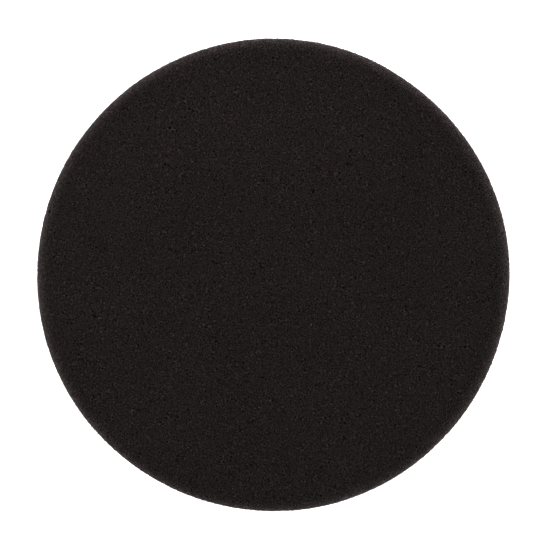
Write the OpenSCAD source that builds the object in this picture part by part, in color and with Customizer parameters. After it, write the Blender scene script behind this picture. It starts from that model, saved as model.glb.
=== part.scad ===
// Foam polishing pad for a dual-action or rotary polisher.
// It lies as it is stored: the hook-and-loop backing down, the working face up.
// The origin is the centre of the backing's mounting face, and +Z is the axis of rotation.
// From the bottom up it is a laminate of loop pile, knitted cloth, adhesive film and foam.

/* [Foam] */
// Diameter of the foam, which is the widest part of the pad
pad_d = 150; // [75:1:230]
// Thickness of the foam alone
foam_t = 25; // [12:0.5:50]
// Radius of the rounded edge round the working face
face_edge_r = 4.5; // [1:0.5:10]
// Radius of the small rounding on the edge beside the backing
back_edge_r = 0.8; // [0.2:0.1:2]

/* [Backing] */
// How far the backing cloth stops short of the foam's edge
cloth_margin = 2.5; // [0:0.5:15]
// How far the adhesive film stops short of the cloth's edge
film_margin = 0.5; // [0:0.1:3]
// Thickness of the hot-melt adhesive film
film_t = 0.2; // [0.1:0.05:0.6]
// Thickness of the cloth's knitted ground
cloth_t = 0.6; // [0.3:0.05:1.5]
// Height of the loops that stand out of the cloth
pile_h = 1.6; // [0.8:0.1:3]
// Radius of the pile's outer edge, where the last loops lean outwards
pile_edge_r = 0.7; // [0.2:0.1:0.8]

/* [Hidden] */
$fn = 180;

// How far a cutting shape runs past the edge that it cuts
overrun = 1;

// Heights of the faces where one layer ends and the next begins
cloth_z = pile_h;
film_z = cloth_z + cloth_t;
foam_z = film_z + film_t;

// Radii of the layers
foam_r = pad_d / 2;
cloth_r = foam_r - cloth_margin;
film_r = cloth_r - film_margin;

// What a rounding of radius r takes off a square corner that lies at [r, r]
module corner_waste(r) {
    difference() {
        square(r + overrun);
        circle(r = r);
    }
}

// Half the section of a disc of radius r and thickness t that stands on y = 0. Its lower and
// upper outer corners are rounded by low_r and high_r, and 0 leaves a corner square.
module disc_section(r, t, low_r, high_r) {
    difference() {
        square([r, t]);
        if (low_r > 0)
            translate([r - low_r, low_r])
                mirror([0, 1])
                    corner_waste(low_r);
        if (high_r > 0)
            translate([r - high_r, t - high_r])
                corner_waste(high_r);
    }
}

// The block of open-cell foam that polishes
module foam_disc() {
    color([0.04, 0.036, 0.036])
        translate([0, 0, foam_z])
            rotate_extrude()
                disc_section(foam_r, foam_t, back_edge_r, face_edge_r);
}

// The melted film that bonds the cloth to the foam
module adhesive_film() {
    color([0.45, 0.42, 0.34])
        translate([0, 0, film_z])
            cylinder(r = film_r, h = film_t);
}

// The knitted ground that holds the loops
module backing_cloth() {
    color([0.10, 0.10, 0.11])
        translate([0, 0, cloth_z])
            cylinder(r = cloth_r, h = cloth_t);
}

// The loops as one soft layer, which the hooks of a backing plate grip
module loop_pile() {
    color([0.16, 0.16, 0.17])
        rotate_extrude()
            disc_section(cloth_r, pile_h, pile_edge_r, 0);
}

foam_disc();
adhesive_film();
backing_cloth();
loop_pile();
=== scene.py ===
"""A foam polishing pad, lying on its hook-and-loop backing and seen straight on its working face.

The foam is one closed mesh of open cells, in which each cell is a cup with a raised rim. Below it
are a film of melted adhesive, a knitted cloth and the cloth's raised loops.
"""

import math

import bpy
import numpy as np
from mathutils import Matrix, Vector
from mathutils.geometry import delaunay_2d_cdt


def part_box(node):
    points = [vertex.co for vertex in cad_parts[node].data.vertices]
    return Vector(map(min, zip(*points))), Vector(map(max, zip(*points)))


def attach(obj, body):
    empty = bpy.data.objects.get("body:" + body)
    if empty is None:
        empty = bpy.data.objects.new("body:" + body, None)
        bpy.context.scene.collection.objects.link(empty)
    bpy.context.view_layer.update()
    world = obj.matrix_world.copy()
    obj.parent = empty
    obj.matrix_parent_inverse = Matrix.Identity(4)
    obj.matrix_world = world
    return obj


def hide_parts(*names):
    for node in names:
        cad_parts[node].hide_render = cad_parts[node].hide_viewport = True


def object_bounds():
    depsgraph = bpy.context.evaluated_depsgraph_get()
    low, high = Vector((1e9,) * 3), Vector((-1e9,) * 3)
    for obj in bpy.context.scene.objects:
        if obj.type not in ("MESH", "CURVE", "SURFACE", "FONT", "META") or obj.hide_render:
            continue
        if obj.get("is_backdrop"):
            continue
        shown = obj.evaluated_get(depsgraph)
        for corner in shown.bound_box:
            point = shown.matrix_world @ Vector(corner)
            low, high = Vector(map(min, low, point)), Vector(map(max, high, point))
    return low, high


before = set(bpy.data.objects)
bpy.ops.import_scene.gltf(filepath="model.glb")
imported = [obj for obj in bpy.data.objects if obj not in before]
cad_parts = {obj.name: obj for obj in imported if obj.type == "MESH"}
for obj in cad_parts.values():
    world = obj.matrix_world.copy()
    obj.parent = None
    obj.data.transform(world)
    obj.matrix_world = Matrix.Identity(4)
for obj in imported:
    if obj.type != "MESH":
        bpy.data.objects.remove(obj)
cad_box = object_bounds()

MM = 0.001

# --- Foam: its section ---
FACE_EDGE_R = 4.5 * MM  # rounding round the working face
BACK_EDGE_R = 0.8 * MM  # rounding beside the backing
WALL_BOW = 0.5 * MM  # how far the die-cut wall bows inwards at half its height
BACK_RING = 3.5 * MM  # how far in from the edge the foam's back has cells
PROFILE_SAMPLES = 4000  # points of the section at which the surface's area is summed
FADE = 1.5 * MM  # the stretch over which those cells grow shallow, before the cloth hides them

# --- Foam: its cells ---
CELL = 0.75 * MM  # typical width of a cell
RELAX_STEPS = 2  # how often the random cells are evened out
CELL_DEPTH = 0.34 * MM  # how far a typical cell's floor lies below its rim
SHUT_DEPTH, OPENING_DEPTH = 0.4, 0.65  # the share of it in a shut cell, and what opening it adds
WIDTH_LIMITS = (0.5, 1.6)  # a cell's width, as a share of the typical one, counts only this far
RIM_JITTER = 0.06 * MM  # how uneven the rims are
TORN_SHARE, TORN_HEIGHT = 0.03, 0.2 * MM  # rim points where a torn strut stands up, with a painted glint
OPENNESS, OPENNESS_SPREAD = 0.9, 0.1  # how open and deep the cells are, and so how dark their painted shade
WAVES = ((0.14 * MM, 90 * MM), (0.04 * MM, 30 * MM))  # height and length of the surface's waves
PITS = 36  # larger holes in the working face and its edge
PIT_RADIUS = (0.35 * MM, 0.65 * MM)
PIT_DEPTH = 0.7  # of the pit's radius
PIT_RIM_PORE, PIT_MIDDLE_PORE = 0.6, 1.1  # how open a pit is, and so how dark its painted shade
TONE_STEP = 1.56  # how much lighter one step of random tone is
TONE_SHARPEN = 0.5  # the share of its neighbours' tone that a point loses, which keeps the grain fine

# --- Adhesive ---
BEAD = 0.45 * MM  # how far the squeezed-out adhesive swells past the film's edge in a large bead
BEAD_LENGTH, BEAD_SEED = 6 * MM, 6
BEAD_LIMIT = 1.6  # the largest bead, as a share of BEAD
BEAD_ZONE = 0.5 * MM  # how far in from the edge it swells
FILM_INNER, FILM_RIM = 1 * MM, 0.1 * MM  # how far in from the edge the film's rings of points lie
FILM_AROUND = 1440  # points round the film, close enough to show the beads

# --- Cloth ---
WALE_PITCH, COURSE_PITCH = 1.9 * MM, 1.5 * MM  # the knit's ribs and rows
WALE_HEIGHT, COURSE_HEIGHT = 0.072 * MM, 0.048 * MM  # half the height of each
KNIT_MARGIN = 0.5 * MM  # how far in from the edge the knit's relief stops
FRAY, FRAY_LENGTH, FRAY_SEED = 0.12 * MM, 3 * MM, 8  # how uneven the cut edge is
FRAY_ZONE = 1.5 * MM  # how far in from the edge it is uneven
CLOTH_RINGS, CLOTH_AROUND = 140, 640  # points of its underside, close enough to show the knit

# --- Loops ---
LOOP_PITCH = 1.4 * MM
LOOP_JITTER = 0.35  # of the pitch
LOOP_MARGIN = 0.6 * MM  # how far in from the cloth's edge the last loops stand
LOOP_SPAN, LOOP_SPAN_RANGE = 2.3 * MM, (0.55, 1.2)  # distance between a loop's two feet
LOOP_HEIGHT = (0.65, 0.88)  # of the pile's height
LOOP_FULLNESS = 0.8  # below 1, the arch is fuller than a half wave
ROOT_DEPTH = 0.1 * MM  # how deep the feet are in the cloth
LOOP_LEAN = 0.35 * MM  # how far a loop's tip leans
EDGE_LEAN = 0.5 * MM  # how much further it leans outwards near the edge
EDGE_ZONE = 2 * MM  # how near that is
LOOP_TURN = 0.9  # how far the loops turn from the knit's rows, in radians
LOOP_STEPS = 5  # straight pieces in a loop
YARN_R, YARN_R_RANGE, YARN_SIDES = 0.175 * MM, (0.7, 1.15), 3

# --- Picture ---
FACE_SHARE = 0.8616  # the pad's diameter as a share of the picture's width
OFF_LEFT, OFF_DOWN = 0.0014, 0.0013  # how far it sits from the centre, as shares of the width
LENS, SENSOR = 100.0, 36.0  # millimetres

# --- Light: a tent, whose radiance is 1 where it is just white ---
TENT_SIDE, TENT_TOP = 1.95, 0.06
TENT_FALL = 3.0  # how fast it dims with height
TENT_TILT = 0.35  # how much brighter it is at the picture's upper side
BACKDROP = 1.1  # what the camera sees behind everything
FLOOR_GLOW, FLOOR_SIZE = 1.5, 8.0
# Soft boxes: their place and size in metres, and power in watts.
KEY_LIGHT = ((-0.25, 0.30, 0.35), 0.35, 0.62)
FILL_LIGHT = ((0.5, -0.05, 0.15), 0.3, 0.5)

rng = np.random.default_rng(20)


# ---------------------------------------------------------------- meshes

# The chart of a disc, which is 1 wide: what is seen lies in its middle, what is hidden in a corner.
SEEN_CHART_R, HIDDEN_CHART_R, HIDDEN_CHART_AT = 0.495, 0.064, 0.075


def make_object(name, points, triangles, uv, values):
    """A smooth mesh object. uv is a chart point for each corner, and values are point attributes."""
    mesh = bpy.data.meshes.new(name)
    mesh.vertices.add(len(points))
    mesh.vertices.foreach_set("co", points.astype(np.float32).ravel())
    mesh.loops.add(triangles.size)
    mesh.loops.foreach_set("vertex_index", triangles.astype(np.int32).ravel())
    mesh.polygons.add(len(triangles))
    mesh.polygons.foreach_set("loop_start", np.arange(0, triangles.size, 3, dtype=np.int32))
    mesh.update(calc_edges=True)
    mesh.polygons.foreach_set("use_smooth", np.ones(len(triangles), bool))
    for key, numbers in values.items():
        layer = mesh.attributes.new(key, "FLOAT", "POINT")
        layer.data.foreach_set("value", numbers.astype(np.float32))
    chart = mesh.uv_layers.new(name="OFBake")
    chart.data.foreach_set("uv", uv.astype(np.float32).ravel())
    mesh.validate()
    obj = bpy.data.objects.new(name, mesh)
    bpy.context.collection.objects.link(obj)
    return obj


def disc_chart(seen, hidden):
    """Chart points from corners in a unit circle: a large disc, and a small one in its corner."""
    seen = 0.5 + SEEN_CHART_R * seen.reshape(-1, 2)
    hidden = HIDDEN_CHART_AT + HIDDEN_CHART_R * hidden.reshape(-1, 2)
    return np.vstack([seen, hidden])


def circle(count):
    """Points round a unit circle."""
    turn = np.arange(count) * 2 * math.pi / count
    return np.column_stack([np.cos(turn), np.sin(turn)])


def lengths(vectors):
    """The lengths of vectors, which lie along the last axis."""
    return np.linalg.norm(vectors, axis=-1)


def soft_noise(points, wavelength, seed, waves=24):
    """A soft noise, mostly from -1 to 1: a sum of plane waves in random directions."""
    draw = np.random.default_rng(seed)
    ways = draw.normal(size=(waves, 3))
    pitch = draw.uniform(0.6, 1.4, waves) * 2 * math.pi / wavelength
    ways *= (pitch / lengths(ways))[:, None]
    phases = draw.uniform(0, 2 * math.pi, waves)
    total = np.zeros(len(points))
    for way, phase in zip(ways, phases):
        total += np.cos(points @ way + phase)
    return total / math.sqrt(waves)


def sides_of(triangles):
    """The sides of all triangles: every first side, then every second and every third."""
    return np.concatenate([triangles[:, [0, 1]], triangles[:, [1, 2]], triangles[:, [2, 0]]])


def inner_sides(triangles):
    """Each side that two triangles share: its ends, and the triangles on its left and right."""
    sides = sides_of(triangles)
    owner = np.tile(np.arange(len(triangles)), 3)
    backward = sides[:, 0] > sides[:, 1]
    sides.sort(axis=1)
    order = np.lexsort((backward, sides[:, 1], sides[:, 0]))
    sides, owner = sides[order], owner[order]
    first = np.flatnonzero((sides[1:] == sides[:-1]).all(axis=1))
    return sides[first], owner[first], owner[first + 1]


def outer_sides(triangles):
    """The sides that only one triangle has, each in its own triangle's direction."""
    sides = sides_of(triangles)
    _, where, uses = np.unique(np.sort(sides, axis=1), axis=0, return_index=True, return_counts=True)
    return sides[where[uses == 1]]


def neighbour_mean(values, pairs):
    """The mean of each point's neighbours, where pairs are neighbours' numbers."""
    total, number = np.zeros_like(values), np.zeros(len(values))
    for a, b in ((0, 1), (1, 0)):
        np.add.at(total, pairs[:, a], values[pairs[:, b]])
        np.add.at(number, pairs[:, a], 1)
    return (total.T / np.maximum(number, 1)).T


def delaunay(points):
    """The Delaunay triangles of flat points, which keep their numbers."""
    whole_hull, closest = 0, 1e-9
    found = delaunay_2d_cdt([Vector(p) for p in points.tolist()], [], [], whole_hull, closest)
    if len(found[0]) != len(points):
        raise ValueError("two of the cells' middles fell on one spot")
    return np.array(found[2], np.int64)


# ---------------------------------------------------------------- foam


class Profile:
    """The foam's section, as a path from the middle of the working face to its back."""

    def __init__(self, low, high):
        self.radius, self.bottom, self.top = high[0], low[2], high[2]
        self.flat = self.radius - FACE_EDGE_R
        self.face_end = self.flat + FACE_EDGE_R * math.pi / 2
        self.wall = self.top - self.bottom - FACE_EDGE_R - BACK_EDGE_R
        self.wall_end = self.face_end + self.wall
        self.back_start = self.wall_end + BACK_EDGE_R * math.pi / 2
        self.end = self.back_start + BACK_RING - BACK_EDGE_R

    def at(self, s):
        """Radius, height and outward normal (radial, up) at distances s along the path."""
        face_turn = np.clip((s - self.flat) / FACE_EDGE_R, 0, math.pi / 2)
        back_turn = np.clip((s - self.wall_end) / BACK_EDGE_R, 0, math.pi / 2)
        down = np.clip(s - self.face_end, 0, self.wall)
        r = np.minimum(s, self.flat) + FACE_EDGE_R * np.sin(face_turn)
        r -= BACK_EDGE_R * (1 - np.cos(back_turn)) + np.maximum(s - self.back_start, 0)
        r -= WALL_BOW * np.sin(math.pi * down / self.wall) ** 2
        z = self.top - FACE_EDGE_R * (1 - np.cos(face_turn)) - down - BACK_EDGE_R * np.sin(back_turn)
        return r, z, np.sin(face_turn + back_turn), np.cos(face_turn + back_turn)


def foam_points(profile, flat, lift):
    """Points of the foam in the row frame, from flat points and how far they stand out."""
    s = lengths(flat)
    r, z, out, up = profile.at(s)
    around = flat / np.maximum(s, 1e-9)[:, None]
    return np.column_stack([around * (r + lift * out)[:, None], z + lift * up])


def cell_middles(profile):
    """Middles of the cells, laid out flat: first random ones, then a ring that ends the surface."""
    steps = np.linspace(0, profile.end, PROFILE_SAMPLES)
    reach = np.cumsum(profile.at(steps)[0])
    area = 2 * math.pi * reach[-1] * steps[1]
    count = int(area / (CELL * CELL * math.sqrt(3) / 2))
    s = np.interp(rng.random(count) * reach[-1], reach, steps)
    turn = rng.random(count) * 2 * math.pi
    middles = np.column_stack([s * np.cos(turn), s * np.sin(turn)])
    ring = profile.end * circle(int(2 * math.pi * profile.end / CELL))
    for _ in range(RELAX_STEPS):
        points = np.vstack([middles, ring])
        middles = neighbour_mean(points, inner_sides(delaunay(points))[0])[:count]
    return np.vstack([middles, ring]), count


def cell_fans(middles, count):
    """Each cell as a fan round its middle. Its outline joins the centres of the triangles round it."""
    triangles = delaunay(middles)
    corners = middles[triangles].mean(axis=1)
    ends, left, right = inner_sides(triangles)
    left, right = left + count, right + count
    fans = [np.column_stack([ends[:, 0], right, left]), np.column_stack([ends[:, 1], left, right])]
    fans = np.vstack(fans)
    return np.vstack([middles[:count], corners]), fans[fans[:, 0] < count]


def cell_relief(profile, flat, fans, count):
    """How far each point stands out, how deep in a pore it lies, which sets its painted shade, and its
    random tone.
    """
    a, b, c = (flat[fans[:, k]] for k in range(3))
    area = np.zeros(count)
    np.add.at(area, fans[:, 0], np.abs(np.cross(b - a, c - a)) / 2)
    width = np.clip(np.sqrt(area) / CELL, *WIDTH_LIMITS)

    torn = np.append(np.zeros(count), rng.random(len(flat) - count) < TORN_SHARE)
    # A torn strut is one step lighter in tone: a painted glint on the tip that stands up.
    tone = rng.normal(size=len(flat)) + torn
    tone -= TONE_SHARPEN * neighbour_mean(tone, inner_sides(fans)[0])
    openness = OPENNESS - OPENNESS_SPREAD * tone[:count]

    lift = rng.normal(0, RIM_JITTER, len(flat)) + TORN_HEIGHT * torn * rng.random(len(flat))
    lift[:count] = -CELL_DEPTH * width * (SHUT_DEPTH + OPENING_DEPTH * openness)
    smooth = foam_points(profile, flat, np.zeros(len(flat)))
    for seed, (height, wavelength) in enumerate(WAVES, 1):
        lift += height * soft_noise(smooth, wavelength, seed)
    # pore sets the painted shade: none on the rims, the cell's openness in its middle.
    pore = np.zeros(len(flat))
    pore[:count] = openness
    cut_pits(profile, flat, lift, pore)
    return lift * np.clip((profile.end - CELL - lengths(flat)) / FADE, 0, 1), pore, tone


def cut_pits(profile, flat, lift, pore):
    """Sink the larger pits, where a bubble was cut open, into lift and pore, so that painted shade
    darkens them.
    """
    s = profile.face_end * np.sqrt(rng.random(PITS))
    turn = rng.random(PITS) * 2 * math.pi
    spots = np.column_stack([s * np.cos(turn), s * np.sin(turn)])
    for spot, radius in zip(spots, rng.uniform(*PIT_RADIUS, PITS)):
        share = 1 - (lengths(flat - spot) / radius) ** 2
        inside = share > 0
        lift[inside] -= PIT_DEPTH * radius * np.sqrt(share[inside])
        # Painted shade, darkest in the pit's middle.
        dark = PIT_RIM_PORE + (PIT_MIDDLE_PORE - PIT_RIM_PORE) * share[inside]
        pore[inside] = np.maximum(pore[inside], dark)


def make_foam(low, high):
    """The foam as one closed mesh of cells."""
    profile = Profile(low, high)
    middles, count = cell_middles(profile)
    flat, fans = cell_fans(middles, count)
    lift, pore, tone = cell_relief(profile, flat, fans, count)
    points = np.vstack([foam_points(profile, flat, lift), [0, 0, profile.bottom]])

    # The back is closed by a flat fan under the cloth.
    sides = outer_sides(fans)
    cap = np.column_stack([sides[:, 1], sides[:, 0], np.full(len(sides), len(flat))])
    chart = np.vstack([flat, [0, 0]]) / profile.end
    uv = disc_chart(chart[fans], chart[cap])
    values = {"pore": np.append(pore, 0), "tone": np.append(tone, 0), "hue": rng.random(len(points))}
    return make_object("foam", points, np.vstack([fans, cap]), uv, values)


# ---------------------------------------------------------------- backing


def make_disc(name, rings, around, shaped, hidden):
    """A closed disc from rings of (radius, z), from the middle of its underside to that of its top.

    shaped moves a ring's points. The last bands, hidden by what lies on them, get little of the chart.
    """
    unit = circle(around)
    body = [shaped(np.column_stack([r * unit, np.full(around, z)])) for r, z in rings[1:-1]]
    points = np.vstack([[0, 0, rings[0][1]], *body, [0, 0, rings[-1][1]]])
    here = np.arange(around)
    after = (here + 1) % around
    faces = [np.column_stack([np.zeros(around, int), 1 + after, 1 + here])]
    for start in 1 + around * np.arange(len(rings) - 3):
        faces.append(np.column_stack([start + here, start + around + after, start + around + here]))
        faces.append(np.column_stack([start + here, start + after, start + around + after]))
    last = 1 + around * (len(rings) - 3)
    faces.append(np.column_stack([last + here, last + after, np.full(around, len(points) - 1)]))
    faces = np.vstack(faces)

    # The seen part unrolls along the section, and the hidden part stays as it is.
    along = np.cumsum(lengths(np.diff(np.array(rings), axis=0)))
    unrolled = np.vstack([[0, 0], *(s * unit for s in along[:-1]), [0, 0]]) / along[-2 - hidden]
    plain = points[:, :2] / lengths(points[:, :2]).max()
    seen = len(faces) - around * (1 + 2 * hidden)
    uv = disc_chart(unrolled[faces[:seen]], plain[faces[seen:]])
    return make_object(name, points, faces, uv, {})


def widened(ring, edge, zone, amount):
    """The ring grown outwards by amount, if it lies within zone of the edge radius."""
    r = lengths(ring[:, :2])
    grow = 1 + np.clip(1 - (edge - r) / zone, 0, 1) * amount / edge
    return ring * np.column_stack([grow, grow, np.ones(len(ring))])


def make_film(low, high):
    """The adhesive, a thin layer whose edge has swelled out in uneven beads."""
    radius, bottom, top = high[0], low[2], high[2]
    edge = np.column_stack([radius * circle(FILM_AROUND), np.zeros(FILM_AROUND)])
    beads = BEAD * np.clip(np.abs(soft_noise(edge, BEAD_LENGTH, BEAD_SEED)), 0, BEAD_LIMIT)
    inner, rim = radius - FILM_INNER, radius - FILM_RIM
    rings = [(0, bottom), (inner, bottom), (rim, bottom), (radius, (bottom + top) / 2)]
    rings += [(rim, top), (inner, top), (0, top)]

    def shaped(ring):
        return widened(ring, radius, BEAD_ZONE, beads)

    return make_disc("adhesive", rings, FILM_AROUND, shaped, 1)


def make_cloth(low, high):
    """The knitted ground of the loop cloth: ribs below, a cut edge, and a plain bonded top."""
    radius, bottom, top = high[0], low[2], high[2]
    edge = np.column_stack([radius * circle(CLOTH_AROUND), np.zeros(CLOTH_AROUND)])
    fray = FRAY * soft_noise(edge, FRAY_LENGTH, FRAY_SEED)

    def shaped(ring):
        ring = widened(ring, radius, FRAY_ZONE, fray)
        below = (ring[:, 2] == bottom) & (lengths(ring[:, :2]) < radius - KNIT_MARGIN)
        wales = WALE_HEIGHT * np.cos(2 * math.pi * ring[:, 0] / WALE_PITCH)
        courses = COURSE_HEIGHT * np.cos(2 * math.pi * ring[:, 1] / COURSE_PITCH)
        ring[:, 2] += below * (wales + courses)
        return ring

    rings = [(r, bottom) for r in np.linspace(0, radius - 0.3 * MM, CLOTH_RINGS)]
    # The cut edge is rounded above and below, and pinched in halfway up.
    rings += [(radius - 0.1 * MM, bottom + 0.02 * MM), (radius, bottom + 0.15 * MM)]
    rings += [(radius - 0.06 * MM, (top + bottom) / 2), (radius, top - 0.15 * MM)]
    rings += [(radius - 0.1 * MM, top - 0.03 * MM), (radius - 1 * MM, top), (radius / 2, top), (0, top)]
    return make_disc("cloth", rings, CLOTH_AROUND, shaped, 2)


def make_loops(low, high):
    """The raised loops: arches of yarn whose feet are in the cloth, leaning all ways."""
    radius, root, tip = high[0], high[2], low[2]
    reach = int(2 * radius / LOOP_PITCH) + 2
    x, y = np.meshgrid(np.arange(-reach, reach), np.arange(-reach, reach), indexing="ij")
    feet = np.stack([x + 0.5 * (y % 2), y * math.sqrt(3) / 2], axis=-1).reshape(-1, 2)
    feet = LOOP_PITCH * (feet + rng.uniform(-LOOP_JITTER, LOOP_JITTER, feet.shape))
    feet = feet[lengths(feet) < radius - LOOP_MARGIN]
    count = len(feet)

    turn = rng.normal(0, LOOP_TURN, count)
    along = np.column_stack([np.cos(turn), np.sin(turn)])
    across = np.column_stack([-np.sin(turn), np.cos(turn), np.zeros(count)])
    span = LOOP_SPAN * rng.uniform(*LOOP_SPAN_RANGE, count)
    lean = rng.normal(0, LOOP_LEAN, (count, 2))
    at_edge = lengths(feet) > radius - EDGE_ZONE
    lean += feet / lengths(feet)[:, None] * (EDGE_LEAN * at_edge)[:, None]

    step = np.linspace(0, math.pi, LOOP_STEPS + 1)
    arch = np.sin(step) ** LOOP_FULLNESS
    along = along[:, None] * (-0.5 * span[:, None] * np.cos(step))[..., None]
    flat = feet[:, None] + along + lean[:, None] * arch[:, None]
    rise = (root - tip) * rng.uniform(*LOOP_HEIGHT, count)
    z = root + ROOT_DEPTH - (rise[:, None] + ROOT_DEPTH) * arch
    lines = np.concatenate([flat, z[..., None]], axis=2)
    return make_tubes("loops", lines, across, YARN_R * rng.uniform(*YARN_R_RANGE, count))


def make_tubes(name, lines, across, radii):
    """Closed tubes along lines that all have the same number of points."""
    count, steps, _ = lines.shape
    ahead = np.gradient(lines, axis=1)
    other = np.cross(ahead, across[:, None])
    other /= lengths(other)[..., None]
    side = np.cross(other, ahead / lengths(ahead)[..., None])
    turns = circle(YARN_SIDES)
    around = turns[:, :1] * side[:, :, None] + turns[:, 1:] * other[:, :, None]
    points = lines[:, :, None] + radii[:, None, None, None] * around

    index = np.arange(count * steps * YARN_SIDES).reshape(count, steps, YARN_SIDES)
    after = np.roll(index, -1, axis=2)
    a, b, c, d = (part.ravel() for part in (index[:, :-1], after[:, :-1], after[:, 1:], index[:, 1:]))
    ends = [index[:, 0, ::-1], index[:, -1]]
    faces = np.vstack([np.column_stack([a, b, c]), np.column_stack([a, c, d]), *ends])

    # Each tube has a small square of its own on the chart.
    row = math.ceil(math.sqrt(count))
    tube = np.arange(count)
    square = np.column_stack([tube % row, tube // row])[:, None, None]
    grid = np.linspace(0.1, 0.9, steps), np.linspace(0.1, 0.9, YARN_SIDES)
    along, turned = np.meshgrid(*grid, indexing="ij")
    chart = ((square + np.stack([along, turned], axis=-1)) / row).reshape(-1, 2)
    tone = np.repeat(rng.random(count), steps * YARN_SIDES)
    # How near each point is to the cloth, which the loops' painted shade follows.
    root = np.tile(np.repeat(np.abs(np.linspace(-1, 1, steps)), YARN_SIDES), count)
    return make_object(name, points.reshape(-1, 3), faces, chart[faces], {"tone": tone, "root": root})


# ---------------------------------------------------------------- materials


def add_node(tree, kind, inputs, **settings):
    """A new node. inputs has a number, a colour or another node's output for each socket."""
    made = tree.nodes.new(kind)
    for key, setting in settings.items():
        setattr(made, key, setting)
    for key, given in inputs.items():
        if isinstance(given, bpy.types.NodeSocket):
            tree.links.new(given, made.inputs[key])
        elif isinstance(given, tuple):
            made.inputs[key].default_value = (*given, 1)
        else:
            made.inputs[key].default_value = given
    return made


def maths(tree, operation, a, b):
    """The result of a Math node."""
    return add_node(tree, "ShaderNodeMath", {0: a, 1: b}, operation=operation).outputs[0]


def ranged(tree, value, low, high, to_low, to_high):
    """value from low..high to to_low..to_high, held at both ends."""
    inputs = {"Value": value, "From Min": low, "From Max": high, "To Min": to_low, "To Max": to_high}
    return add_node(tree, "ShaderNodeMapRange", inputs).outputs["Result"]


class Material:
    """A material in the making, with short calls for the nodes that this script uses."""

    def __init__(self, name, **surface):
        self.material = bpy.data.materials.new(name)
        self.material.use_nodes = True
        self.tree = self.material.node_tree
        self.inputs = self.tree.nodes["Principled BSDF"].inputs
        self.place = self.tree.nodes.new("ShaderNodeTexCoord").outputs["Object"]
        for key, value in surface.items():
            socket = self.inputs[key.replace("_", " ")]
            socket.default_value = (*value, 1) if isinstance(value, tuple) else value

    def noise(self, size, detail=2.0, rough=0.5):
        """Soft noise from 0 to 1 with features of a size in metres."""
        inputs = {"Vector": self.place, "Scale": 1 / size, "Detail": detail, "Roughness": rough}
        return add_node(self.tree, "ShaderNodeTexNoise", inputs).outputs["Fac"]

    def spread(self, size, low, high, detail=2.0, rough=0.5):
        """The same noise from low to high."""
        return ranged(self.tree, self.noise(size, detail, rough), 0.3, 0.7, low, high)

    def attribute(self, name):
        """A point attribute of the mesh, by name."""
        return add_node(self.tree, "ShaderNodeAttribute", {}, attribute_name=name).outputs["Fac"]

    def mix(self, share, a, b, blend="MIX"):
        """Colour a, with a share of colour b mixed in or multiplied with it."""
        # The Mix node's colour sockets are numbers 6 and 7, and its colour output is number 2.
        inputs = {0: share, 6: a, 7: b}
        made = add_node(self.tree, "ShaderNodeMix", inputs, data_type="RGBA", blend_type=blend)
        return made.outputs[2]

    def grey(self, value):
        """A grey colour of that value."""
        return add_node(self.tree, "ShaderNodeCombineColor", {0: value, 1: value, 2: value}).outputs[0]

    def finish(self, colour, roughness, *bumps):
        """Link the colour, the roughness, and bumps of (height, distance in metres), coarse first."""
        self.tree.links.new(colour, self.inputs["Base Color"])
        self.tree.links.new(roughness, self.inputs["Roughness"])
        for height, distance in bumps:
            bump = add_node(self.tree, "ShaderNodeBump", {"Height": height, "Distance": distance})
            if self.inputs["Normal"].is_linked:
                self.tree.links.new(self.inputs["Normal"].links[0].from_socket, bump.inputs["Normal"])
            self.tree.links.new(bump.outputs["Normal"], self.inputs["Normal"])
        return self.material


def foam_material():
    """Warm black foam: lighter struts round pores darkened by painted shade, and a dusty sheen at a
    grazing angle.
    """
    sheen = {"Sheen_Weight": 0.8, "Sheen_Roughness": 0.35, "Sheen_Tint": (1.0, 0.8, 0.78)}
    m = Material("foam", Specular_IOR_Level=0.08, **sheen)
    t = m.tree
    walls = {"Vector": m.place, "Scale": 1 / (0.4 * MM)}
    walls = add_node(t, "ShaderNodeTexVoronoi", walls, feature="DISTANCE_TO_EDGE").outputs["Distance"]
    # Painted shade: the colour darkens down into each pore, the more open the darker, and away from the
    # fine cell walls.
    deep = maths(t, "ADD", m.attribute("pore"), ranged(t, walls, 0.02, 0.16, -0.22, 0.1))
    hole = ranged(t, deep, 0.08, 0.65, 0.0, 1.0)
    colour = m.mix(hole, (0.0505, 0.0394, 0.0399), (0.0179, 0.0133, 0.0134))
    patches, grain = m.spread(30 * MM, 0.94, 1.06, 3), m.spread(0.5 * MM, 0.75, 1.25, 3, 0.6)
    shade = maths(t, "POWER", TONE_STEP, m.attribute("tone"))
    shade = maths(t, "MULTIPLY", shade, maths(t, "MULTIPLY", patches, grain))
    hue = m.mix(m.attribute("hue"), (1.08, 0.95, 0.96), (0.92, 1.05, 1.04))
    colour = m.mix(1.0, m.mix(1.0, colour, m.grey(shade), "MULTIPLY"), hue, "MULTIPLY")
    roughness = ranged(t, hole, 0.0, 1.0, 0.75, 0.98)
    return m.finish(colour, roughness, (hole, -0.12 * MM), (m.noise(0.2 * MM), 0.04 * MM))


def film_material():
    """Hot-melt adhesive, cream and a little hazy."""
    m = Material("adhesive")
    colour = m.mix(m.spread(2 * MM, 0.0, 1.0, 3), (0.30, 0.27, 0.20), (0.46, 0.43, 0.34))
    return m.finish(colour, m.spread(0.8 * MM, 0.28, 0.5), (m.noise(0.9 * MM, 3), 0.1 * MM))


def cloth_material():
    """The dark knitted ground, with its yarns in fine wavy lines."""
    m = Material("cloth", Sheen_Weight=0.1)
    yarns = {"Vector": m.place, "Scale": 1 / (1.9 * MM), "Distortion": 1.5}
    yarns = add_node(m.tree, "ShaderNodeTexWave", yarns).outputs["Fac"]
    colour = m.mix(yarns, (0.008, 0.008, 0.009), (0.024, 0.024, 0.027))
    fuzz = m.noise(0.2 * MM)
    return m.finish(colour, m.spread(0.4 * MM, 0.7, 0.95), (yarns, 0.08 * MM), (fuzz, 0.05 * MM))


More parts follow.
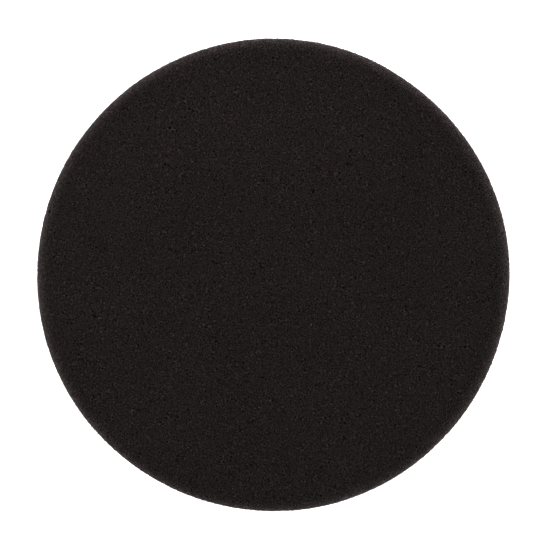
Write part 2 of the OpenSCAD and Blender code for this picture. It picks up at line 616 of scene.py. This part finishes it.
def loop_material():
    """Charcoal nylon yarn, each loop in its own tone, and darkened towards its feet by painted shade.
    """
    m = Material("loops", Sheen_Weight=0.15, Sheen_Roughness=0.35)
    yarn = m.mix(m.attribute("tone"), (0.026, 0.026, 0.029), (0.085, 0.085, 0.094))
    # Painted shade: the yarn darkens towards the cloth, down in the pile.
    foot_shade = ranged(m.tree, m.attribute("root"), 0.3, 1.0, 0.0, 0.7)
    colour = m.mix(foot_shade, yarn, (0.010, 0.010, 0.012))
    return m.finish(colour, m.spread(0.3 * MM, 0.45, 0.7), (m.noise(0.12 * MM), 0.03 * MM))


# ---------------------------------------------------------------- studio


def make_floor():
    """A white light table, so bright that the pad's soft shadow hardly shows from above."""
    bpy.ops.mesh.primitive_plane_add(size=FLOOR_SIZE)
    floor = bpy.context.object
    floor.name = "floor"
    white = Material("floor", Emission_Color=(1, 1, 1), Emission_Strength=FLOOR_GLOW, Roughness=0.9)
    floor.data.materials.append(white.material)
    floor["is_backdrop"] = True


def make_world():
    """White to the camera. To the pad, a light tent: bright at the horizon and dim overhead."""
    world = bpy.data.worlds.new("studio")
    bpy.context.scene.world = world
    world.use_nodes = True
    t = world.node_tree
    direction = t.nodes.new("ShaderNodeTexCoord").outputs["Generated"]
    way = add_node(t, "ShaderNodeSeparateXYZ", {0: direction}).outputs
    band = maths(t, "POWER", ranged(t, way["Z"], 0.0, 1.0, 1.0, 0.0), TENT_FALL)
    tilt = ranged(t, way["Y"], -1.0, 1.0, 1 - TENT_TILT, 1 + TENT_TILT)
    tent = ranged(t, maths(t, "MULTIPLY", band, tilt), 0.0, 1.0, TENT_TOP, TENT_SIDE)
    seen = t.nodes.new("ShaderNodeLightPath").outputs["Is Camera Ray"]
    background = t.nodes["Background"].inputs
    background["Color"].default_value = (1, 1, 1, 1)
    t.links.new(ranged(t, seen, 0.0, 1.0, tent, BACKDROP), background["Strength"])


def make_light(name, place, size, power):
    """A square soft box that faces the pad."""
    data = bpy.data.lights.new(name, "AREA")
    data.size, data.energy = size, power
    light = bpy.data.objects.new(name, data)
    light.location = place
    light.rotation_euler = (-Vector(place)).to_track_quat("-Z", "Y").to_euler()
    bpy.context.collection.objects.link(light)


def make_camera(radius, height):
    """Straight above the pad, which fills its share of the picture."""
    data = bpy.data.cameras.new("camera")
    data.lens, data.sensor_width = LENS, SENSOR
    width = 2 * radius / FACE_SHARE
    camera = bpy.data.objects.new("camera", data)
    camera.location = (OFF_LEFT * width, OFF_DOWN * width, height + width * LENS / SENSOR)
    bpy.context.collection.objects.link(camera)
    bpy.context.scene.camera = camera


# ---------------------------------------------------------------- scene

foam_low, foam_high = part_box("foam_disc")
make_camera(foam_high[0], foam_high[2] - FACE_EDGE_R)
make_floor()
make_world()
make_light("key", *KEY_LIGHT)
make_light("fill", *FILL_LIGHT)
bpy.context.scene.view_settings.view_transform = "Standard"

foam = make_foam(foam_low, foam_high)
film = make_film(*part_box("adhesive_film"))
cloth_low, cloth_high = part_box("backing_cloth")
cloth = make_cloth(cloth_low, cloth_high)
loops = make_loops(*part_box("loop_pile"))

parts = [
    (foam, "foam_disc", "foam", foam_material()),
    (film, "adhesive_film", "adhesive", film_material()),
    (cloth, "backing_cloth", "cloth", cloth_material()),
    (loops, "loop_pile", "pile", loop_material()),
]
for piece, node, slot, material in parts:
    piece.data.materials.append(material)
    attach(piece, "root")
    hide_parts(node)

boxes = {"cad": cad_box, "visual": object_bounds()}
boxes = {name: [[float(x) for x in corner] for corner in box] for name, box in boxes.items()}
